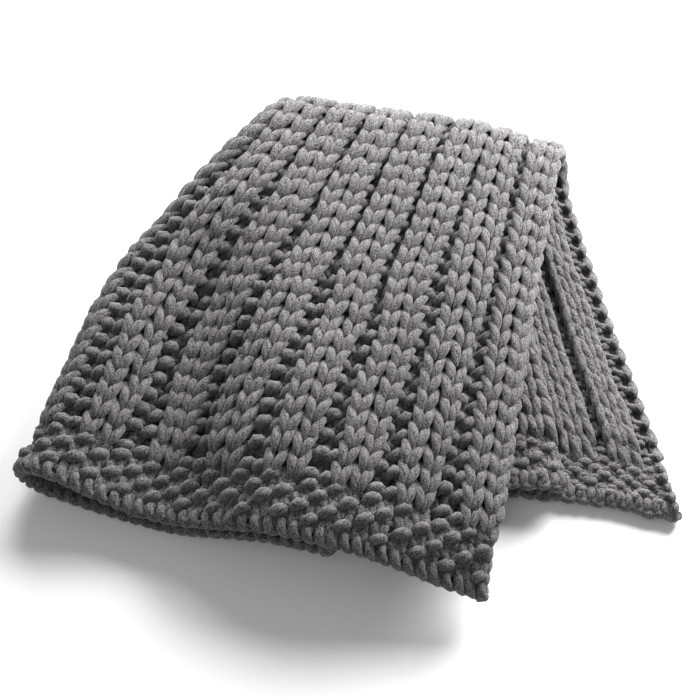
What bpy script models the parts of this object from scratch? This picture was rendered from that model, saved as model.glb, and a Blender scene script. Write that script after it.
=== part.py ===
"""Chunky knit blanket, lying softly folded on a floor. Blender 4.5, metres, +Z up.

One piece of thick 2 x 2 ribbing with a moss stitch border at each end. Its left part is turned
under along a rib, and the whole is then folded over a soft crest. The front half lies on top and
fans towards -Y, the back half comes out from under it on the right.
"""

import math

import bmesh
import bpy
import numpy as np

# Gauge of the knitting: a period is two knit columns and the two purl columns beside them
PERIOD = 0.098
RIBS = 13
ROW = 0.0305
RIBBED_ROWS = 44
MOSS_ROW = 0.017
BORDER_ROWS = 5
SIDE = 0.36  # periods from the first rib's middle to the side edge
BORDER = BORDER_ROWS * MOSS_ROW
LENGTH = RIBBED_ROWS * ROW + 2 * BORDER

# Cloth: a 22 mm web that swings 5 mm to each side, so ribs stand out on both faces
WEB = 0.022
RIB_RISE = 0.005
LAYER = 0.038  # from the middle of one layer to the middle of the next
REST = WEB / 2 + RIB_RISE  # height of the middle of a layer that lies on the floor

# The crest is a fold across the ribs. ALONG runs down its length to the left, FRONT at right angles
CREST = 0.83  # from the front hem, along the cloth
CREST_RIGHT_END = (0.33715, 0.30514)  # puts the origin under the middle of the whole
CREST_TURN = math.radians(172)
ALONG = np.array([math.cos(CREST_TURN), math.sin(CREST_TURN), 0])
FRONT = np.array([-math.sin(CREST_TURN), math.cos(CREST_TURN), 0])
UP = np.array([0, 0, 1])
CREST_SOFTNESS = 0.16  # length in which a rib's lean changes at the crest
SETTLE = 0.26  # the front half comes down from the crest within this length

# Where each rib crosses the crest, how it leans to the left in front and behind, the crest's
# radius there, and how far the rib bows out to the left half way down the front
FAN = (
    # rib, along crest, lean in front, lean behind, crest radius, bow in front
    (-1.0, -0.064, 0, -24, 0.042, 0.000),
    (0.0, 0.000, 2, -23, 0.046, 0.000),
    (1.2, 0.078, 6, -21, 0.056, 0.002),
    (2.0, 0.130, 8.5, -19, 0.060, 0.004),
    (4.0, 0.262, 15, -14, 0.062, 0.018),
    (5.5, 0.360, 20, -10, 0.064, 0.036),
    (6.5, 0.426, 24, -8, 0.066, 0.052),
    (8.0, 0.526, 30, -5, 0.068, 0.075),
)

# The left part is turned under along a rib: half a round of cloth, then the strip under the rest
TURN_START = 6.4
TURN_END = 7.9
TURN_RADIUS_FRONT_HEM = 0.041
TURN_RADIUS_CREST = 0.0215
ROLL_RADIUS = 0.050
ROLL_STARTS = 0.07
ROLL_GROWS = 0.28
TURN_RADIUS_BACK = 0.019
TURN_CLOSES = 1.5  # periods in which the strip closes up to the cloth above it
STRIP_EDGE = TURN_START - (RIBS - 1 + SIDE - TURN_END)

# Soft swells of the front half: place across and down the cloth, spread and height
SWELLS = (
    # rib, from crest, ribs wide, length, height
    (0.9, 0.36, 0.9, 0.22, 0.020),
    (3.1, 0.60, 0.9, 0.16, 0.014),
)
DROP_RUN = 0.20  # length in which the cloth comes down past the edge of what it lies on

# Places across one period, from a rib's middle, and how far the web swings out there
RIB_PROFILE = ((-0.5, -1.0), (-0.3, 0.3), (-0.12, 1.0), (0.12, 1.0), (0.3, 0.3))
TURN_STEPS = 7
FLAT_STEP = 0.054
BEND_STEP = 0.017
PRESSED = 0.0012  # the floor presses flat what is nearer to it than this

WOOL_GREY = (0.25, 0.245, 0.25, 1)


def remove_all():
    for obj in list(bpy.data.objects):
        bpy.data.objects.remove(obj, do_unlink=True)


def through(places, values, at):
    """A smooth curve through a table's values, with the slope of its neighbours at each."""
    places = np.asarray(places, float)
    values = np.asarray(values, float)
    slopes = np.gradient(values, places)
    i = np.clip(np.searchsorted(places, at) - 1, 0, len(places) - 2)
    span = places[i + 1] - places[i]
    s = (at - places[i]) / span
    return (
        values[i] * (1 + 2 * s) * (1 - s) ** 2
        + values[i + 1] * s**2 * (3 - 2 * s)
        + span * slopes[i] * s * (1 - s) ** 2
        - span * slopes[i + 1] * s**2 * (1 - s)
    )


def fan(column, rib):
    return through([row[0] for row in FAN], [row[column] for row in FAN], rib)


def fall(distance, run):
    """1 up to an edge, and smoothly down to 0 at the end of the run past it."""
    s = np.clip(distance / run, 0, 1)
    return 1 - s * s * (3 - 2 * s)


def ramp(x):
    return (x + np.sqrt(x * x + CREST_SOFTNESS**2) - CREST_SOFTNESS) / 2


def turn_radius(from_crest):
    roll = 1 - fall(from_crest - ROLL_STARTS, ROLL_GROWS)
    hem = 1 - fall(from_crest - ROLL_STARTS - ROLL_GROWS, CREST - ROLL_STARTS - ROLL_GROWS)
    back = 1 - fall(-from_crest, 0.15)
    return (
        TURN_RADIUS_CREST
        + (ROLL_RADIUS - TURN_RADIUS_CREST) * roll
        + (TURN_RADIUS_FRONT_HEM - ROLL_RADIUS) * hem
        + (TURN_RADIUS_BACK - TURN_RADIUS_CREST) * back
    )


def turn_gap(rib, from_crest):
    """Distance between the cloth and the strip turned under it, wide at the turned edge."""
    open_part = fall((TURN_START - rib) / TURN_CLOSES, 1)
    return LAYER + (2 * turn_radius(from_crest) - LAYER) * open_part


def laid_on(rib, along, front, from_crest, over_strip):
    """Height of the front half's middle over what lies under it: back half, strips and floor."""
    lean = np.tan(np.radians(fan(3, np.array([STRIP_EDGE, TURN_START]))))
    start = fan(1, np.array([STRIP_EDGE, TURN_START]))
    left_edge = start[1] + lean[1] * front + TURN_RADIUS_BACK + WEB / 2
    strip_edge = start[0] + lean[0] * front - 0.01
    back_hem = LENGTH - CREST - 0.02
    back_half = fall(along - left_edge, DROP_RUN) * fall(front - back_hem, DROP_RUN)
    back_strip = back_half * fall(strip_edge - along, DROP_RUN)
    own_strip = fall((STRIP_EDGE - 0.1 - rib) * PERIOD, DROP_RUN)
    height = REST + LAYER * (back_half + back_strip)
    return height + over_strip * own_strip * turn_gap(rib, from_crest)


def swells(rib, from_crest):
    total = 0
    for place, down, wide, length, height in SWELLS:
        spread = ((rib - place) / wide) ** 2 + ((from_crest - down) / length) ** 2
        total = total + height * np.exp(-spread)
    return total


def spread_cloth(rib, from_hem, over_strip=1):
    """The middle of the cloth with its fan and crest, before the left part is turned under."""
    from_crest = CREST - from_hem
    lean_front = np.radians(fan(2, rib))
    lean_back = np.radians(fan(3, rib))
    radius = fan(4, rib)
    along = (
        fan(1, rib)
        + np.sin(lean_front) * ramp(from_crest)
        + np.sin(lean_back) * ramp(-from_crest)
        + fan(5, rib) * (1 - np.cos(2 * math.pi * np.clip(from_crest / CREST, 0, 1))) / 2
    )
    across = (
        from_crest
        - (1 - np.cos(lean_front)) * ramp(from_crest)
        + (1 - np.cos(lean_back)) * ramp(-from_crest)
    )
    quarter = math.pi / 2 * radius
    bend = np.clip((quarter - across) / radius, 0, math.pi)
    front = np.maximum(across - quarter, 0)
    back = np.maximum(-across - quarter, 0)
    height = REST + radius * (1 + np.cos(bend))
    settled = laid_on(rib, along, front, from_crest, over_strip)
    settled = settled + over_strip * swells(rib, from_crest)
    height = settled + (height - settled) * fall(front, SETTLE)
    outwards = front + back - radius * np.sin(bend)
    return (
        np.array([*CREST_RIGHT_END, 0])
        + along[..., None] * ALONG
        + outwards[..., None] * FRONT
        + height[..., None] * UP
    )


def unit(vectors):
    return vectors / np.linalg.norm(vectors, axis=-1, keepdims=True)


def slopes(surface, rib, from_hem):
    """Unit vectors along the rows, along the ribs and out of the cloth's outer face."""
    small = 0.002
    rows = surface(rib + small, from_hem) - surface(rib - small, from_hem)
    ribs = surface(rib, from_hem + small) - surface(rib, from_hem - small)
    out = unit(np.cross(ribs, rows))
    return unit(rows), unit(ribs), out


def lowest_cloth(rib, from_hem):
    """The same, lying straight on the floor or the back half, with no strip between."""
    return spread_cloth(rib, from_hem, 0)


def folded_cloth(rib, from_hem):
    """The middle of the cloth with its left part turned under."""
    from_crest = CREST - from_hem
    past_turn = np.maximum(rib - TURN_END, 0)
    place = np.minimum(rib, TURN_START) - past_turn
    rows, _, out = slopes(lowest_cloth, place, from_hem)
    held = fall(from_crest - math.pi / 2 * fan(4, place), SETTLE)[..., None]
    inwards = held * out + (1 - held) * UP
    angle = math.pi * np.clip((rib - TURN_START) / (TURN_END - TURN_START), 0, 1)[..., None]
    radius = turn_radius(from_crest)[..., None]
    sideways = radius * np.sin(angle) * rows
    turn = spread_cloth(place, from_hem) + sideways - radius * (1 - np.cos(angle)) * inwards
    strip = lowest_cloth(place, from_hem) - turn_gap(place, from_crest)[..., None] * held * out
    return np.where(past_turn[..., None] > 0, strip, turn)


def swing(rib, from_hem):
    """How far the web stands out towards the outer face: ribs, and even borders on the floor."""
    in_period = (rib + 0.5) % 1 - 0.5
    places = [place for place, _ in RIB_PROFILE] + [0.5]
    values = [value for _, value in RIB_PROFILE] + [RIB_PROFILE[0][1]]
    ribbed = RIB_RISE * np.interp(in_period, places, values)
    front_border = fall(from_hem - BORDER, ROW)
    back_border = fall(LENGTH - BORDER - from_hem, ROW)
    even = 1 - front_border - back_border
    return ribbed * even + RIB_RISE * (back_border - front_border)


def rib_stations():
    """Places across the cloth where it gets points: each rib's profile, and steps at the turn."""
    places = [-SIDE, RIBS - 1 + SIDE]
    for rib in range(RIBS):
        places += [rib + place for place, _ in RIB_PROFILE]
    turn = np.linspace(TURN_START, TURN_END, TURN_STEPS + 1)
    clear = 0.5 / TURN_STEPS
    kept = [
        place
        for place in places
        if -SIDE <= place <= RIBS - 1 + SIDE
        and not TURN_START - clear < place < TURN_END + clear
    ]
    return np.array(sorted({round(place, 4) for place in [*kept, *turn]}))


def hem_stations():
    """Places along the cloth: wide steps where it lies, narrow ones round the crest."""
    half = math.pi / 2 * max(row[4] for row in FAN) + BEND_STEP
    front = np.linspace(0, CREST - half, round((CREST - half) / FLAT_STEP) + 1)
    bend = np.linspace(CREST - half, CREST + half, round(2 * half / BEND_STEP) + 1)
    back_length = LENGTH - CREST - half
    back = np.linspace(CREST + half, LENGTH, round(back_length / FLAT_STEP) + 1)
    return np.concatenate([front[:-1], bend, back[1:]])


def wool():
    material = bpy.data.materials.new("thick_grey_wool_yarn")
    material.use_nodes = True
    shader = material.node_tree.nodes["Principled BSDF"]
    shader.inputs["Base Color"].default_value = WOOL_GREY
    shader.inputs["Roughness"].default_value = 0.9
    shader.inputs["Metallic"].default_value = 0
    return material


def knitted_web(collection):
    """A grid laid on the folded middle surface, thickened to the web."""
    across = rib_stations()
    along = hem_stations()
    rib, from_hem = np.meshgrid(across, along, indexing="ij")
    _, _, out = slopes(folded_cloth, rib, from_hem)
    points = folded_cloth(rib, from_hem) + swing(rib, from_hem)[..., None] * out

    sheet = bmesh.new()
    bmesh.ops.create_grid(
        sheet, x_segments=len(across) - 1, y_segments=len(along) - 1, size=1
    )
    for corner in sheet.verts:
        i = round((corner.co.x + 1) / 2 * (len(across) - 1))
        j = round((corner.co.y + 1) / 2 * (len(along) - 1))
        corner.co = points[i, j]
    mesh = bpy.data.meshes.new("blanket")
    sheet.to_mesh(mesh)
    sheet.free()
    web = bpy.data.objects.new("web", mesh)
    collection.objects.link(web)
    thick = web.modifiers.new("thickness", "SOLIDIFY")
    thick.thickness = WEB
    thick.offset = 0
    return web


def pressed_on_floor(web):
    """A copy with its thickness made real, flat wherever the floor presses it."""
    graph = bpy.context.evaluated_depsgraph_get()
    mesh = bpy.data.meshes.new_from_object(web.evaluated_get(graph))
    body = bmesh.new()
    body.from_mesh(mesh)
    bmesh.ops.triangulate(body, faces=body.faces)
    bmesh.ops.recalc_face_normals(body, faces=body.faces)
    for corner in body.verts:
        if corner.co.z < PRESSED:
            corner.co.z = 0
    body.to_mesh(mesh)
    body.free()
    return mesh


def make_blanket():
    collection = bpy.data.collections.new("chunky_knit_blanket")
    bpy.context.scene.collection.children.link(collection)
    web = knitted_web(collection)
    bpy.context.view_layer.update()
    blanket = bpy.data.objects.new("blanket", pressed_on_floor(web))
    bpy.data.objects.remove(web, do_unlink=True)
    collection.objects.link(blanket)
    blanket.data.materials.append(wool())
    blanket.data.shade_smooth()
    blanket.data.set_sharp_from_angle(angle=math.radians(50))


remove_all()
make_blanket()
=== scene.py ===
import math

import bpy
import numpy as np
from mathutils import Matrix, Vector


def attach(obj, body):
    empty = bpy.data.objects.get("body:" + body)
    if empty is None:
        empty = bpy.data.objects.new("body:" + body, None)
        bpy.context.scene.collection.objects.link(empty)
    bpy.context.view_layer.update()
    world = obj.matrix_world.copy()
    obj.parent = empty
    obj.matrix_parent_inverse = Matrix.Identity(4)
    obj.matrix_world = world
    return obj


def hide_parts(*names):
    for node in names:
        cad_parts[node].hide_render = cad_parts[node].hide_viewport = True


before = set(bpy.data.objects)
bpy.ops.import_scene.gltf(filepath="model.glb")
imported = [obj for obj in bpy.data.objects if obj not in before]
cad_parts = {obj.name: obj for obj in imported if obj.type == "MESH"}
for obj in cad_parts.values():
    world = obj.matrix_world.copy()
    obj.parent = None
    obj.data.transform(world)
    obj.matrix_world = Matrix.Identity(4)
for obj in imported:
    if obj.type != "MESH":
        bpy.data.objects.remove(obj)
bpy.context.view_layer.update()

# The camera stands in front of the blanket and well above it, square on to the fan of ribs, as
# the photograph looks at the front half. A long lens from well away keeps the ribs' slant flat.
bpy.ops.object.select_all(action="DESELECT")
CAMERA_TARGET = Vector((0.0, -0.01, 0.04))
CAMERA_HEIGHT = math.radians(63)  # its angle above the floor
CAMERA_AWAY = 2.75
CAMERA_LENS = 86
camera_place = CAMERA_TARGET + CAMERA_AWAY * Vector(
    (0, -math.cos(CAMERA_HEIGHT), math.sin(CAMERA_HEIGHT))
)
bpy.ops.object.camera_add(location=camera_place)
camera = bpy.context.object
camera.name = "camera"
camera.rotation_euler = (CAMERA_TARGET - camera_place).to_track_quat("-Z", "Y").to_euler()
camera.data.lens = CAMERA_LENS
bpy.context.scene.camera = camera
bpy.context.scene.view_settings.view_transform = "Standard"

# The ground of the knitting: a sheet that stands in for the crowded backs of the stitches, where
# one strand covers the next. Its dark colour is painted shade: the same grey yarn, seen only as
# dark depth between the stitches. It lies in the middle of the cloth, so it has the blanket's
# folds: the fan, the soft crest and the part turned under.
PERIOD = 0.098  # two knit columns and the two purl columns beside them
RIBS = 13
ROW = 0.0305
RIBBED_ROWS = 44
MOSS_ROW = 0.017
BORDER_ROWS = 5
SIDE = 0.36  # periods from the first rib's middle to the side edge
BORDER = BORDER_ROWS * MOSS_ROW
LENGTH = RIBBED_ROWS * ROW + 2 * BORDER
WEB = 0.022
RIB_RISE = 0.005
LAYER = 0.038  # from the middle of one layer to the middle of the next
REST = WEB / 2 + RIB_RISE  # height of the middle of a layer that lies on the floor

CREST = 0.83  # from the front hem, along the cloth
CREST_RIGHT_END = (0.33715, 0.30514)
CREST_TURN = math.radians(172)  # which way the crest runs, from +X
ALONG = np.array([math.cos(CREST_TURN), math.sin(CREST_TURN), 0])  # down the crest to the left
FRONT = np.array([-math.sin(CREST_TURN), math.cos(CREST_TURN), 0])  # at right angles to it
UP = np.array([0, 0, 1])
CREST_SOFTNESS = 0.16  # length in which a rib's lean changes at the crest
SETTLE = 0.26  # the front half comes down from the crest within this length
FAN = (
    # rib, along crest, lean in front and behind in degrees, crest radius, bow in front
    (-1.0, -0.064, 0, -24, 0.042, 0.000),
    (0.0, 0.000, 2, -23, 0.046, 0.000),
    (1.2, 0.078, 6, -21, 0.056, 0.002),
    (2.0, 0.130, 8.5, -19, 0.060, 0.004),
    (4.0, 0.262, 15, -14, 0.062, 0.018),
    (5.5, 0.360, 20, -10, 0.064, 0.036),
    (6.5, 0.426, 24, -8, 0.066, 0.052),
    (8.0, 0.526, 30, -5, 0.068, 0.075),
)
ALONG_CREST, LEAN_FRONT, LEAN_BACK, CREST_RADIUS, BOW = range(1, 6)  # the fan's columns
TURN_START = 6.4  # the rib where the left part begins to turn under
TURN_END = 7.9  # the rib where it is turned right over
TURN_RADIUS_FRONT_HEM = 0.041  # half the height of the turned edge there
TURN_RADIUS_CREST = 0.0215
ROLL_RADIUS = 0.050
ROLL_STARTS = 0.07  # the turned edge opens into a soft roll so far in front of the crest
ROLL_GROWS = 0.28
TURN_RADIUS_BACK = 0.019
BACK_TIGHTENS = 0.15  # length behind the crest in which the turn comes down to that radius
TURN_CLOSES = 1.5  # periods in which the strip closes up to the cloth above it
STRIP_EDGE = TURN_START - (RIBS - 1 + SIDE - TURN_END)  # the rib over the strip's side edge
PAST_BACK_STRIP = 0.01  # from its edge to where the cloth on it starts to come down
PAST_OWN_STRIP = 0.1  # the same in periods, for the front half's own strip
BEFORE_BACK_HEM = 0.02
SWELLS = (
    # rib, from crest, ribs wide, length, height
    (0.9, 0.36, 0.9, 0.22, 0.020),
    (3.1, 0.60, 0.9, 0.16, 0.014),
)
DROP_RUN = 0.20  # length in which the cloth comes down past the edge of what it lies on


def through(places, values, at):
    """A smooth curve through a table's values, with the slope of its neighbours at each."""
    places = np.asarray(places, float)
    values = np.asarray(values, float)
    slope = np.gradient(values, places)
    i = np.clip(np.searchsorted(places, at) - 1, 0, len(places) - 2)
    span = places[i + 1] - places[i]
    s = (at - places[i]) / span
    return (
        values[i] * (1 + 2 * s) * (1 - s) ** 2
        + values[i + 1] * s**2 * (3 - 2 * s)
        + span * slope[i] * s * (1 - s) ** 2
        - span * slope[i + 1] * s**2 * (1 - s)
    )


def fan(column, rib):
    """A column of the fan's table at any place across the ribs."""
    return through([row[0] for row in FAN], [row[column] for row in FAN], rib)


def fall(distance, run):
    """1 up to an edge, and smoothly down to 0 at the end of the run past it."""
    s = np.clip(distance / run, 0, 1)
    return 1 - s * s * (3 - 2 * s)


def ramp(x):
    """0 before the crest and x past it, with a soft bend between."""
    return (x + np.sqrt(x * x + CREST_SOFTNESS**2) - CREST_SOFTNESS) / 2


def turn_radius(from_crest):
    """How wide the turned edge is: a roll in front, tight at the crest and behind it."""
    roll = 1 - fall(from_crest - ROLL_STARTS, ROLL_GROWS)
    hem = 1 - fall(from_crest - ROLL_STARTS - ROLL_GROWS, CREST - ROLL_STARTS - ROLL_GROWS)
    back = 1 - fall(-from_crest, BACK_TIGHTENS)
    return (
        TURN_RADIUS_CREST
        + (ROLL_RADIUS - TURN_RADIUS_CREST) * roll
        + (TURN_RADIUS_FRONT_HEM - ROLL_RADIUS) * hem
        + (TURN_RADIUS_BACK - TURN_RADIUS_CREST) * back
    )


def turn_gap(rib, from_crest):
    """Distance between the cloth and the strip turned under it, wide at the turned edge."""
    open_part = fall((TURN_START - rib) / TURN_CLOSES, 1)
    return LAYER + (2 * turn_radius(from_crest) - LAYER) * open_part


def laid_on(rib, along, front, from_crest, over_strip):
    """Height of the front half's middle over what lies under it: back half, strips and floor."""
    edges = np.array([STRIP_EDGE, TURN_START])
    strip_lean, left_lean = np.tan(np.radians(fan(LEAN_BACK, edges)))
    strip_start, left_start = fan(ALONG_CREST, edges)
    left_edge = left_start + left_lean * front + TURN_RADIUS_BACK + WEB / 2
    strip_edge = strip_start + strip_lean * front - PAST_BACK_STRIP
    back_hem = LENGTH - CREST - BEFORE_BACK_HEM
    back_half = fall(along - left_edge, DROP_RUN) * fall(front - back_hem, DROP_RUN)
    back_strip = back_half * fall(strip_edge - along, DROP_RUN)
    own_strip = fall((STRIP_EDGE - PAST_OWN_STRIP - rib) * PERIOD, DROP_RUN)
    height = REST + LAYER * (back_half + back_strip)
    return height + over_strip * own_strip * turn_gap(rib, from_crest)


def swells(rib, from_crest):
    """Height of the soft swells of the front half."""
    total = 0
    for place, down, wide, length, height in SWELLS:
        spread = ((rib - place) / wide) ** 2 + ((from_crest - down) / length) ** 2
        total = total + height * np.exp(-spread)
    return total


def spread_cloth(rib, from_hem, over_strip=1):
    """The middle of the cloth with its fan and crest, before the left part is turned under."""
    from_crest = CREST - from_hem
    lean_front = np.radians(fan(LEAN_FRONT, rib))
    lean_back = np.radians(fan(LEAN_BACK, rib))
    radius = fan(CREST_RADIUS, rib)
    along = (
        fan(ALONG_CREST, rib)
        + np.sin(lean_front) * ramp(from_crest)
        + np.sin(lean_back) * ramp(-from_crest)
        + fan(BOW, rib) * (1 - np.cos(2 * math.pi * np.clip(from_crest / CREST, 0, 1))) / 2
    )
    across = (
        from_crest
        - (1 - np.cos(lean_front)) * ramp(from_crest)
        + (1 - np.cos(lean_back)) * ramp(-from_crest)
    )
    quarter = math.pi / 2 * radius
    bend = np.clip((quarter - across) / radius, 0, math.pi)
    front = np.maximum(across - quarter, 0)
    back = np.maximum(-across - quarter, 0)
    height = REST + radius * (1 + np.cos(bend))
    settled = laid_on(rib, along, front, from_crest, over_strip)
    settled = settled + over_strip * swells(rib, from_crest)
    height = settled + (height - settled) * fall(front, SETTLE)
    outwards = front + back - radius * np.sin(bend)
    return (
        np.array([*CREST_RIGHT_END, 0])
        + along[..., None] * ALONG
        + outwards[..., None] * FRONT
        + height[..., None] * UP
    )


def unit(vectors):
    """The same directions at length 1."""
    return vectors / np.linalg.norm(vectors, axis=-1, keepdims=True)


def directions(surface, rib, from_hem):
    """Real length of a period along the rows, the rows' direction and the outer face's."""
    small = 0.002
    rows = surface(rib + small, from_hem) - surface(rib - small, from_hem)
    ribs = surface(rib, from_hem + small) - surface(rib, from_hem - small)
    out = unit(np.cross(ribs, rows))
    return np.linalg.norm(rows, axis=-1) / (2 * small), unit(rows), out


def lowest_cloth(rib, from_hem):
    """The fanned cloth, straight on the floor or the back half, with no strip between."""
    return spread_cloth(rib, from_hem, 0)


def folded_cloth(rib, from_hem):
    """The middle of the cloth with its left part turned under."""
    from_crest = CREST - from_hem
    past_turn = np.maximum(rib - TURN_END, 0)
    place = np.minimum(rib, TURN_START) - past_turn
    _, rows, out = directions(lowest_cloth, place, from_hem)
    held = fall(from_crest - math.pi / 2 * fan(CREST_RADIUS, place), SETTLE)[..., None]
    inwards = held * out + (1 - held) * UP
    angle = math.pi * np.clip((rib - TURN_START) / (TURN_END - TURN_START), 0, 1)[..., None]
    radius = turn_radius(from_crest)[..., None]
    sideways = radius * np.sin(angle) * rows
    turn = spread_cloth(place, from_hem) + sideways - radius * (1 - np.cos(angle)) * inwards
    strip = lowest_cloth(place, from_hem) - turn_gap(place, from_crest)[..., None] * held * out
    return np.where(past_turn[..., None] > 0, strip, turn)


def ribbing_share(from_hem):
    """1 in the ribbing and 0 in the moss stitch ends, with one row between."""
    return 1 - fall(from_hem - BORDER, ROW) - fall(LENGTH - BORDER - from_hem, ROW)


GROUND_STEPS_ACROSS = 130
GROUND_STEPS_ALONG = 140
GROUND_OUT_IN_RIBS = 0.004
GROUND_BACK_IN_GUTTERS = 0.011
GROUND_INSET = 0.10  # periods, and rows, that its edge stays in from the knitting's
bpy.ops.mesh.primitive_grid_add(
    x_subdivisions=GROUND_STEPS_ACROSS, y_subdivisions=GROUND_STEPS_ALONG, size=2
)
ground = bpy.context.object
# a dark sheet whose colour is painted shade, for the shadowed depth between the stitches
ground.name = "shaded_knit_ground"
flat_points = np.array([corner.co for corner in ground.data.vertices])
ground_rib = np.interp(
    flat_points[:, 0], (-1, 1), (-SIDE + GROUND_INSET, RIBS - 1 + SIDE - GROUND_INSET)
)
ground_hem = np.interp(
    flat_points[:, 1], (-1, 1), (ROW * GROUND_INSET, LENGTH - ROW * GROUND_INSET)
)
_, _, ground_out = directions(folded_cloth, ground_rib, ground_hem)
ground_points = folded_cloth(ground_rib, ground_hem)
ground_wave = np.cos(2 * math.pi * ground_rib)
ground_lift = ground_wave * np.where(ground_wave > 0, GROUND_OUT_IN_RIBS, GROUND_BACK_IN_GUTTERS)
ground_lift *= ribbing_share(ground_hem)
ground_points += ground_lift[:, None] * ground_out
ground.data.vertices.foreach_set("co", ground_points.ravel())
ground.data.shade_smooth()
ground.data.update()


def srgb(colour):
    """An sRGB hex colour as the linear values that a shader takes."""
    parts = [int(colour[i : i + 2], 16) / 255 for i in (1, 3, 5)]
    return (*[p / 12.92 if p <= 0.04045 else ((p + 0.055) / 1.055) ** 2.4 for p in parts], 1)


def add_node(material, kind, settings=None, inputs=None):
    """Adds a node. An input is a value, or an output socket to link from."""
    node = material.node_tree.nodes.new(kind)
    for name, value in (settings or {}).items():
        setattr(node, name, value)
    for name, value in (inputs or {}).items():
        if isinstance(value, bpy.types.NodeSocket):
            material.node_tree.links.new(value, node.inputs[name])
        else:
            node.inputs[name].default_value = value
    return node


def new_material(name):
    """A material with its shader."""
    material = bpy.data.materials.new(name)
    material.use_nodes = True
    return material, material.node_tree.nodes["Principled BSDF"]


# The yarn inside the knitting gets little light, and this material paints that shade into its
# colour: dull, dark, with the strands' faint unevenness.
shaded_yarn, shader = new_material("shaded_inner_yarn")
INNER_STRAND = 0.014
inner_place = add_node(shaded_yarn, "ShaderNodeTexCoord").outputs["Object"]
inner_noise = add_node(
    shaded_yarn, "ShaderNodeTexNoise", None, {"Vector": inner_place, "Scale": 1 / INNER_STRAND}
)
# painted shade: near-black greys for yarn that light hardly reaches, varied by the noise
inner_painted_shade = add_node(
    shaded_yarn,
    "ShaderNodeMix",
    {"data_type": "RGBA"},
    {"Factor": inner_noise.outputs["Fac"], "A": srgb("#1a1919"), "B": srgb("#343333")},
)
shaded_yarn.node_tree.links.new(inner_painted_shade.outputs["Result"], shader.inputs["Base Color"])
shader.inputs["Roughness"].default_value = 1.0
shader.inputs["Specular IOR Level"].default_value = 0.1
ground.data.materials.append(shaded_yarn)
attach(ground, "root")
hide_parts("blanket")

# The knitting: one thick soft yarn, each row a strand that goes up, over and down through every
# stitch, caught by the row above, with a loop at each side. Two knit columns stand out as a rib,
# two purl columns sink between ribs, and the five rows at each end are moss stitch, both by turns.
YARN = 0.0154
RIB_STANDS_OUT = 0.0075
OUTER_LEGS_BACK = 0.22  # share of it that a rib's outer legs lie back
KNIT_PAIR = 0.0345  # from a column's middle to that of the column paired with it
PURL_PAIR = 0.0290
KNIT_PAIR_LIMITS = (0.135, 0.215)  # its half at least and at most, in periods
PURL_PAIR_LIMITS = (0.125, 0.180)
MOSS_COLUMN = 0.25  # periods
COLUMNS = 4 * RIBS - 2
ROWS = RIBBED_ROWS + 2 * BORDER_ROWS
column_numbers = np.arange(COLUMNS)
in_rib = column_numbers % 4 < 2
right_of_pair = column_numbers % 2 * 2 - 1  # 1 for the right column of a pair, -1 for the left
LEG_DEPTH = 0.0066  # a strand's middle in front of the cloth's, and behind it
KNIT = (
    # half width in columns, height in rows, in front in leg depths, fullness
    (0.13, -0.68, 0.60, 0.48),
    (0.16, -0.32, 1.15, 0.84),
    (0.23, 0.12, 1.20, 1.08),
    (0.32, 0.54, 0.45, 0.94),
    (0.40, 0.92, -0.85, 0.60),
)
PURL = (
    # as for a knit stitch
    (0.14, -0.52, -0.60, 0.80),
    (0.18, -0.15, -1.05, 0.90),
    (0.26, 0.25, -1.15, 0.96),
    (0.33, 0.62, -1.15, 0.88),
    (0.29, 0.95, 0.00, 1.06),
)
MOSS = (
    # as for a knit stitch, and the last is how far it is in front if the one above is knit
    (0.14, -0.50, -0.20, 0.80, 0.00),
    (0.18, -0.15, 0.10, 0.88, 0.15),
    (0.22, 0.25, 0.10, 0.90, 0.30),
    (0.29, 0.62, -0.10, 0.90, 0.20),
    (0.31, 0.92, 0.00, 1.02, -0.45),
)
HEAD_HEIGHT = 1.05  # rows
KNIT_HEAD_FULLNESS = 0.88
PURL_HEAD_FRONT = 1.75  # leg depths
PURL_HEAD_FULLNESS = 1.38
PURL_HEAD_SLANT = 0.16  # rows that a purl bump's left end is over its middle
MOSS_HEAD_FRONT = 1.42
MOSS_HEAD_FULLNESS = 1.16  # under a purl
MOSS_KNIT_HEAD_FULLNESS = 0.94  # under a knit
MOSS_HEAD_SLANT = 0.24
SIDE_LOOP = (
    # outwards in periods, height in rows and in front, all from the last leg's lower end, fullness
    (0.035, -0.20, -0.1, 0.85),
    (0.080, -0.05, -0.1, 1.00),
    (0.102, 0.28, -0.5, 1.18),
    (0.085, 0.58, -1.2, 1.15),
    (0.035, 0.82, -2.0, 1.12),
    (-0.030, 0.95, -2.3, 0.90),
)
MOSS_LOOP = 0.8  # how far its side loops reach out, next to those of the ribbing
SINKER_HEIGHT = -0.60  # of the strand between two stitches, in rows
SINKER_FULLNESS = 0.90
SINKER_BACK = (-1.0, -0.80, -0.50)  # its depth between two knits, a knit and a purl, two purls
SMOOTHING = 2  # points for each step of the strand's route
SIDES = 8
STITCH_UNEVEN = 0.0014  # how far a stitch is off its place
WANDER = 0.0030  # how far a whole rib or gutter sways from side to side
WANDER_LENGTHS = (0.21, 0.46)
STRAND_UNEVEN = 0.0004
FULLNESS_UNEVEN = 0.04
FLOOR_CLEARANCE = 0.0004
ROW_BANDS = 6  # the rows are joined into so many pieces
COLUMNS_IN_SIGHT = 35  # the others lie turned under, between two layers
hand = np.random.default_rng(54)


def row_places():
    """The middle of every row, as distance from the front hem, and the row's height."""
    height = np.full(ROWS, ROW)
    height[:BORDER_ROWS] = MOSS_ROW
    height[-BORDER_ROWS:] = MOSS_ROW
    return height.cumsum() - height / 2, height


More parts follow.
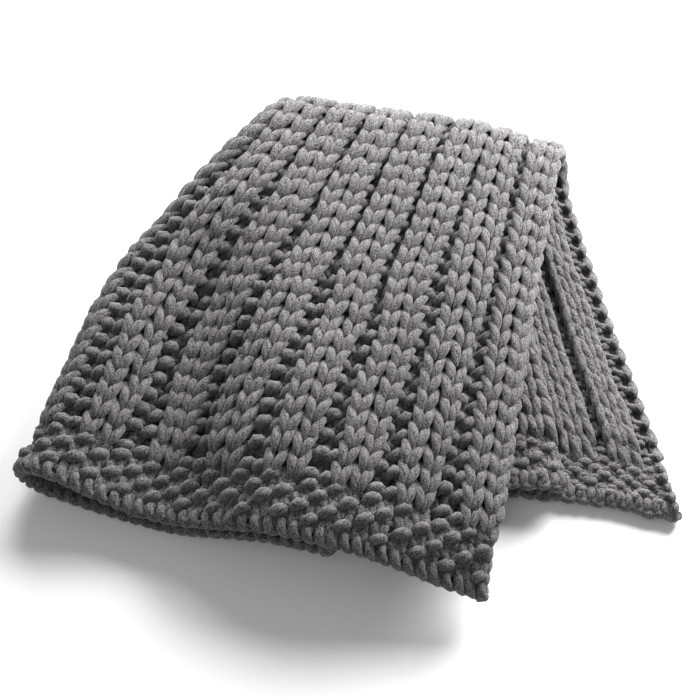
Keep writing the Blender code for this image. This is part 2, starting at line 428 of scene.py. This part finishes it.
def column_places(from_hem):
    """The middle and the width of every column in periods, for each row."""
    rib = column_numbers // 4 + 0.5 * ~in_rib
    rib, from_hem = np.meshgrid(rib, from_hem)
    period, _, _ = directions(folded_cloth, rib, from_hem)
    knit = np.clip(KNIT_PAIR / 2 / period, *KNIT_PAIR_LIMITS)
    purl = np.clip(PURL_PAIR / 2 / period, *PURL_PAIR_LIMITS)
    share = ribbing_share(from_hem)
    half = np.where(in_rib, knit, purl) * share + MOSS_COLUMN / 2 * (1 - share)
    width = 2 * np.where(in_rib, knit, purl)
    moss = row_heights[:, None] < ROW
    return rib + right_of_pair * half, np.where(moss, MOSS_COLUMN, width)


def knit_or_purl():
    """1 for a knit stitch and -1 for a purl, for every row and column, and 0 past the last row."""
    row, column = np.meshgrid(np.arange(ROWS + 1), column_numbers, indexing="ij")
    ribbing = np.where(in_rib, 1, -1)
    moss = np.where((row + column) % 2 == 0, 1, -1)
    inside = (row >= BORDER_ROWS) & (row < ROWS - BORDER_ROWS)
    return np.where(inside, ribbing, moss) * (row < ROWS)


def wander():
    """Slow sway of every pair of columns, in periods, for each row, but not of the side edges."""
    total = 0
    for length in WANDER_LENGTHS:
        phase = np.repeat(hand.uniform(0, 2 * math.pi, COLUMNS // 2), 2)
        total = total + np.sin(2 * math.pi * row_middles[:, None] / length + phase)
    from_side = np.minimum(column_numbers, COLUMNS - 1 - column_numbers) // 2
    return total * WANDER / PERIOD * np.minimum(from_side / 2, 1)


def strand_routes():
    """Every row's route as rib place, distance from the hem, depth and fullness."""
    middle, width = column_places(row_middles)
    face = knit_or_purl()
    this, above = face[:-1], face[1:]
    between = (middle[:, 1:] + middle[:, :-1]) / 2
    purls_beside = (this[:, 1:] < 0) * 1 + (this[:, :-1] < 0)
    off_rib = hand.normal(0, STITCH_UNEVEN / PERIOD, middle.shape)
    off_hem = hand.normal(0, STITCH_UNEVEN, middle.shape)
    off_depth = hand.normal(0, STITCH_UNEVEN / 2, middle.shape)
    full = 1 + hand.normal(0, FULLNESS_UNEVEN, middle.shape)
    middle = middle + off_rib + wander()
    row_height = row_heights[:, None]
    hem = row_middles[:, None] + off_hem
    lift = RIB_STANDS_OUT * np.where(in_rib, 1, -1) * ribbing_share(row_middles)[:, None]
    outer_side = np.where(in_rib, right_of_pair, 0)
    moss = row_height < ROW
    purl = ~moss & ~in_rib
    head_front = np.where(purl, PURL_HEAD_FRONT, -above)
    head_front = np.where(moss, -MOSS_HEAD_FRONT * above, head_front)
    head_full = np.where(purl, PURL_HEAD_FULLNESS, KNIT_HEAD_FULLNESS)
    moss_head_full = np.where(above < 0, MOSS_HEAD_FULLNESS, MOSS_KNIT_HEAD_FULLNESS)
    head_full = np.where(moss, moss_head_full, head_full)
    slant = np.where(moss, MOSS_HEAD_SLANT * (above < 0), PURL_HEAD_SLANT * purl)
    steps = []
    leg_points = list(zip(KNIT, PURL, MOSS))  # up the left leg, over the head, down the right
    top_half, *_ = KNIT[-1]
    for side in (-1, 1):
        for knit_point, purl_point, (*moss_point, by_above) in leg_points[::-side]:
            half, height, front, fullness = (
                np.where(moss, m, np.where(purl, p, k))
                for k, p, m in zip(knit_point, purl_point, moss_point)
            )
            front = np.where(moss, front * this + by_above * above, front)
            lies_back = OUTER_LEGS_BACK * np.maximum(side * outer_side, 0) * half / top_half
            depth = LEG_DEPTH * front + lift * (1 - lies_back)
            at_top = knit_point == KNIT[-1]
            height = height - at_top * side * slant
            steps.append((side * half * width, height, depth, fullness))
        if side < 0:
            steps.append((0, HEAD_HEIGHT, lift + LEG_DEPTH * head_front, head_full))
    route = []
    for column in range(COLUMNS):
        for sideways, height, depth, fullness in steps:
            route.append(
                (
                    (middle + sideways)[:, column],
                    (hem + height * row_height)[:, column],
                    (depth + off_depth)[:, column],
                    (full * fullness)[:, column],
                )
            )
        if column < COLUMNS - 1:
            back = np.choose(purls_beside[:, column], SINKER_BACK)
            route.append(
                (
                    between[:, column],
                    row_middles + SINKER_HEIGHT * row_heights,
                    (lift[:, column] + lift[:, column + 1]) / 2 + LEG_DEPTH * back,
                    full[:, column] * SINKER_FULLNESS,
                )
            )
    route = np.array(route).transpose(2, 0, 1)
    return np.concatenate([side_loop(route, -1), route, side_loop(route, 1)], axis=1)


def side_loop(route, side):
    """The strand's turn at a side edge: out past the last leg and up behind the next row."""
    last = route[:, -1 if side > 0 else 0]
    points = []
    for out, height, depth, fullness in SIDE_LOOP:
        point = last.copy()
        point[:, 0] += side * out * np.where(row_heights < ROW, MOSS_LOOP, 1)
        point[:, 1] += height * row_heights
        point[:, 2] += depth * LEG_DEPTH
        point[:, 3] = fullness
        points.append(point)
    return np.stack(points[::side], axis=1)


def smoothed(route, steps):
    """A Catmull-Rom curve through every route, with the given points for each step."""
    ends = np.concatenate([route[:, :1], route, route[:, -1:]], axis=1)
    a, b, c, d = ends[:, :-3], ends[:, 1:-2], ends[:, 2:-1], ends[:, 3:]
    pieces = []
    for s in np.arange(steps) / steps:
        pieces.append(
            0.5
            * (
                2 * b
                + (c - a) * s
                + (2 * a - 5 * b + 4 * c - d) * s**2
                + (3 * b - a - 3 * c + d) * s**3
            )
        )
    mixed = np.stack(pieces, axis=2).reshape(len(route), -1, route.shape[-1])
    return np.concatenate([mixed, route[:, -1:]], axis=1)


def on_the_cloth(route):
    """Points in space of a route given by rib place, distance from the hem and depth."""
    rib, from_hem, depth = route[..., 0], route[..., 1], route[..., 2]
    _, _, out = directions(folded_cloth, rib, from_hem)
    return folded_cloth(rib, from_hem) + depth[..., None] * out


def strand_mesh(name, paths, thickness):
    """Round strands along the paths, with a map of the way round and the way along in metres."""
    count, steps = paths.shape[:2]
    ahead = unit(np.gradient(paths, axis=1))
    sides = [unit(np.cross(ahead[:, 0], UP))]
    for i in range(1, steps):
        leaning = (sides[-1] * ahead[:, i]).sum(-1, keepdims=True)
        sides.append(unit(sides[-1] - leaning * ahead[:, i]))
    side = np.stack(sides, axis=1)
    other = np.cross(ahead, side)
    around = np.arange(SIDES) / SIDES * 2 * math.pi
    ring = (
        side[:, :, None] * np.cos(around)[:, None] + other[:, :, None] * np.sin(around)[:, None]
    )
    points = paths[:, :, None] + ring * (thickness / 2)[..., None, None]
    points[..., 2] = np.maximum(points[..., 2], FLOOR_CLEARANCE)
    number = np.arange(count * steps * SIDES).reshape(count, steps, SIDES)
    here, there = number[:, :-1], number[:, 1:]
    quads = np.stack(
        [here, np.roll(here, -1, axis=2), np.roll(there, -1, axis=2), there], axis=-1
    ).reshape(-1, 4)
    caps = np.concatenate([number[:, 0, ::-1], number[:, -1]])
    length = np.concatenate(
        [np.zeros((count, 1)), np.linalg.norm(np.diff(paths, axis=1), axis=-1).cumsum(1)], axis=1
    )
    turn = np.arange(SIDES) / SIDES
    u = np.broadcast_to(turn, (count, steps - 1, SIDES))
    low = np.broadcast_to(length[:, :-1, None], u.shape)
    high = np.broadcast_to(length[:, 1:, None], u.shape)
    quad_map = np.stack(
        [
            np.stack([u, low], -1),
            np.stack([u + 1 / SIDES, low], -1),
            np.stack([u + 1 / SIDES, high], -1),
            np.stack([u, high], -1),
        ],
        axis=-2,
    ).reshape(-1, 2)
    cap_map = np.zeros((caps.size, 2))

    mesh = bpy.data.meshes.new(name)
    mesh.vertices.add(points.size // 3)
    mesh.vertices.foreach_set("co", points.ravel())
    mesh.loops.add(quads.size + caps.size)
    mesh.loops.foreach_set("vertex_index", np.concatenate([quads.ravel(), caps.ravel()]))
    mesh.polygons.add(len(quads) + len(caps))
    starts = np.concatenate(
        [np.arange(len(quads)) * 4, quads.size + np.arange(len(caps)) * SIDES]
    )
    mesh.polygons.foreach_set("loop_start", starts)
    mesh.update(calc_edges=True)
    strand_map = mesh.uv_layers.new(name="along_yarn")
    strand_map.data.foreach_set("uv", np.concatenate([quad_map, cap_map]).ravel())
    mesh.shade_smooth()
    strand = bpy.data.objects.new(name, mesh)
    bpy.context.scene.collection.objects.link(strand)
    return strand


row_middles, row_heights = row_places()
route = strand_routes()
route[..., 0] += hand.normal(0, STRAND_UNEVEN / PERIOD, route.shape[:2])
route[..., 1:3] += hand.normal(0, STRAND_UNEVEN, (*route.shape[:2], 2))
route = smoothed(route, SMOOTHING)
steps_a_column = 2 * (len(KNIT) + 1)  # two legs, the head and the sinker
shown = steps_a_column * SMOOTHING * COLUMNS_IN_SIGHT  # the part turned under gets fewer points
kept = [i for i in range(route.shape[1]) if i < shown or i % SMOOTHING == 0]
route = route[:, kept]
paths = on_the_cloth(route)
thickness = YARN * route[..., 3]
knitting = [
    strand_mesh(f"knit_rows_{band + 1}", paths[rows], thickness[rows])
    for band, rows in enumerate(np.array_split(np.arange(ROWS), ROW_BANDS))
]

# The yarn: soft mid grey wool blend, three plies laid round each other and a fine knitted skin.
# It is matt and heathered, with pale flecks and a faint halo of fibre. The dark specks between the
# skin's tiny stitches and the darkening in the creases between plies are painted shade.
yarn, shader = new_material("heathered_grey_plied_yarn")
PLIES = 3
PLY_TURN = 0.072  # length of one full turn of the plies
PLY_ROUNDNESS = 0.45  # power that makes the plies round and the creases between them narrow
PLY_RELIEF = 0.0016
SKIN_STITCH = 0.0019  # a little coarser than the real one, so that it shows
SKIN_RELIEF = 0.0007
HEATHER = 0.003
DRIFT = 0.09  # length in which the shade of the yarn changes
yarn_map = add_node(yarn, "ShaderNodeUVMap", {"uv_map": "along_yarn"}).outputs["UV"]
place = add_node(yarn, "ShaderNodeTexCoord").outputs["Object"]
split = add_node(yarn, "ShaderNodeSeparateXYZ", None, {"Vector": yarn_map})
around_turns = add_node(
    yarn, "ShaderNodeMath", {"operation": "MULTIPLY"}, {0: split.outputs["X"], 1: math.pi * PLIES}
)
along_turns = add_node(
    yarn,
    "ShaderNodeMath",
    {"operation": "MULTIPLY"},
    {0: split.outputs["Y"], 1: math.pi * PLIES / PLY_TURN},
)
ply_phase = add_node(
    yarn,
    "ShaderNodeMath",
    {"operation": "ADD"},
    {0: around_turns.outputs[0], 1: along_turns.outputs[0]},
)
ply_wave = add_node(yarn, "ShaderNodeMath", {"operation": "SINE"}, {0: ply_phase.outputs[0]})
ply_swell = add_node(yarn, "ShaderNodeMath", {"operation": "ABSOLUTE"}, {0: ply_wave.outputs[0]})
ply_round = add_node(
    yarn, "ShaderNodeMath", {"operation": "POWER"}, {0: ply_swell.outputs[0], 1: PLY_ROUNDNESS}
)
skin = add_node(
    yarn,
    "ShaderNodeTexVoronoi",
    {"feature": "F1"},
    {"Vector": place, "Scale": 1 / SKIN_STITCH, "Randomness": 0.8},
)
heather = add_node(
    yarn,
    "ShaderNodeTexNoise",
    None,
    {"Vector": place, "Scale": 1 / HEATHER, "Detail": 2.0, "Roughness": 0.6},
)
drift = add_node(
    yarn, "ShaderNodeTexNoise", None, {"Vector": place, "Scale": 1 / DRIFT, "Detail": 2.0}
)
# painted shade: the recesses between the skin's tiny stitches, which the skin bump sinks
skin_gap_shade = add_node(
    yarn,
    "ShaderNodeMapRange",
    None,
    {"Value": skin.outputs["Distance"], "From Min": 0.42, "From Max": 0.68},
)
# the yarn's grey, darkened to near black in those recesses as painted shade
gap_shaded_skin_colour = add_node(
    yarn,
    "ShaderNodeMix",
    {"data_type": "RGBA"},
    {"Factor": skin_gap_shade.outputs[0], "A": srgb("#6b696a"), "B": srgb("#1d1b1c")},
)
fleck = add_node(
    yarn,
    "ShaderNodeMapRange",
    None,
    {"Value": heather.outputs["Fac"], "From Min": 0.55, "From Max": 0.80},
)
flecked = add_node(
    yarn,
    "ShaderNodeMix",
    {"data_type": "RGBA"},
    {"Factor": fleck.outputs[0], "A": gap_shaded_skin_colour.outputs["Result"], "B": srgb("#838182")},
)
drift_range = add_node(
    yarn,
    "ShaderNodeMapRange",
    None,
    {"Value": drift.outputs["Fac"], "From Min": 0.3, "From Max": 0.7, "To Min": 0.9, "To Max": 1.08},
)
# painted shade: the creases between the plies darkened to 0.4 of the colour, on the ply bump's
# troughs
painted_crease_shade = add_node(
    yarn,
    "ShaderNodeMapRange",
    None,
    {"Value": ply_round.outputs[0], "From Min": 0.0, "From Max": 0.7, "To Min": 0.40, "To Max": 1.0},
)
# the yarn's slow random change of tone, times the painted shade in the ply creases
shade = add_node(
    yarn,
    "ShaderNodeMath",
    {"operation": "MULTIPLY"},
    {0: drift_range.outputs[0], 1: painted_crease_shade.outputs[0]},
)
final_colour = add_node(
    yarn,
    "ShaderNodeVectorMath",
    {"operation": "SCALE"},
    {0: flecked.outputs["Result"], "Scale": shade.outputs[0]},
)
yarn.node_tree.links.new(final_colour.outputs[0], shader.inputs["Base Color"])
shader.inputs["Roughness"].default_value = 0.92
shader.inputs["Specular IOR Level"].default_value = 0.25
shader.inputs["Sheen Weight"].default_value = 0.18
shader.inputs["Sheen Roughness"].default_value = 0.5
ply_bump = add_node(
    yarn,
    "ShaderNodeBump",
    None,
    {"Height": ply_round.outputs[0], "Distance": PLY_RELIEF, "Strength": 0.7},
)
skin_bump = add_node(
    yarn,
    "ShaderNodeBump",
    {"invert": True},
    {
        "Height": skin.outputs["Distance"],
        "Distance": SKIN_RELIEF,
        "Strength": 0.8,
        "Normal": ply_bump.outputs["Normal"],
    },
)
yarn.node_tree.links.new(skin_bump.outputs["Normal"], shader.inputs["Normal"])


def put_in_yarn(strand):
    """Gives a strand its yarn, on the root body."""
    strand.data.materials.append(yarn)
    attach(strand, "root")


for strand in knitting:
    put_in_yarn(strand)

# The edges at both ends are cast on and bound off: the strand wraps over the last row of moss
# stitch, one slanting wrap after another, which makes a firm rolled hem.
HEM_WRAPS_PER_COLUMN = 1.35
HEM_POINTS_PER_WRAP = 12
HEM_ROLL_WIDE = 0.00855  # radius of a wrap along the cloth
HEM_ROLL_DEEP = 0.007125  # and through its thickness
HEM_SLANT = 0.04  # periods that a wrap runs along the hem
HEM_INSET = 0.06  # periods that its ends stay in from the side edges
HEM_YARN = YARN * 0.93
FRONT_HEM_IN = 0.35  # moss rows from the hem to the middle of its roll
BACK_HEM_IN = 0.25


def hem_wrap(name, from_hem, outwards):
    """The strand's wraps along a hem."""
    wraps = COLUMNS * HEM_WRAPS_PER_COLUMN
    steps = round(wraps * HEM_POINTS_PER_WRAP)
    turn = np.linspace(0, wraps * 2 * math.pi, steps)
    rib = np.linspace(-SIDE + HEM_INSET, RIBS - 1 + SIDE - HEM_INSET, steps)
    hem_route = np.stack(
        [
            rib + HEM_SLANT * np.sin(turn),
            from_hem + outwards * HEM_ROLL_WIDE * np.cos(turn),
            HEM_ROLL_DEEP * np.sin(turn),
        ],
        axis=-1,
    )[None]
    path = on_the_cloth(hem_route)
    return strand_mesh(name, path, np.full(path.shape[:2], HEM_YARN))


front_hem = hem_wrap("front_hem", FRONT_HEM_IN * MOSS_ROW, -1)
back_hem = hem_wrap("back_hem", LENGTH - BACK_HEM_IN * MOSS_ROW, 1)
for strand in (front_hem, back_hem):
    put_in_yarn(strand)
    knitting.append(strand)

# A plain pale studio floor and soft light: a broad key from behind on the right, as in the
# photograph, a second behind the crest's left end, a weak one in front, and a pale surround.
bpy.ops.mesh.primitive_plane_add(size=14, location=(0, 2, 0))
floor = bpy.context.object
floor.name = "floor"
pale, shader = new_material("pale_matt_floor")
shader.inputs["Base Color"].default_value = srgb("#fafafa")
shader.inputs["Roughness"].default_value = 0.9
floor.data.materials.append(pale)


def soft_light(name, place, size, power):
    """A round soft light that looks at the middle of the blanket."""
    bpy.ops.object.light_add(type="AREA", location=place)
    light = bpy.context.object
    light.name = name
    light.data.shape = "DISK"
    light.data.size = size
    light.data.energy = power
    light.rotation_euler = (-Vector(place)).to_track_quat("-Z", "Y").to_euler()


soft_light("key", (1.02, 0.90, 0.92), size=1.1, power=80)
soft_light("back", (-0.30, 1.15, 0.80), size=1.0, power=34)
soft_light("front", (-0.8, -1.8, 2.9), size=2.6, power=12)
world = bpy.data.worlds.new("surround")
world.use_nodes = True
world.node_tree.nodes["Background"].inputs["Color"].default_value = srgb("#ffffff")
world.node_tree.nodes["Background"].inputs["Strength"].default_value = 0.29
bpy.context.scene.world = world
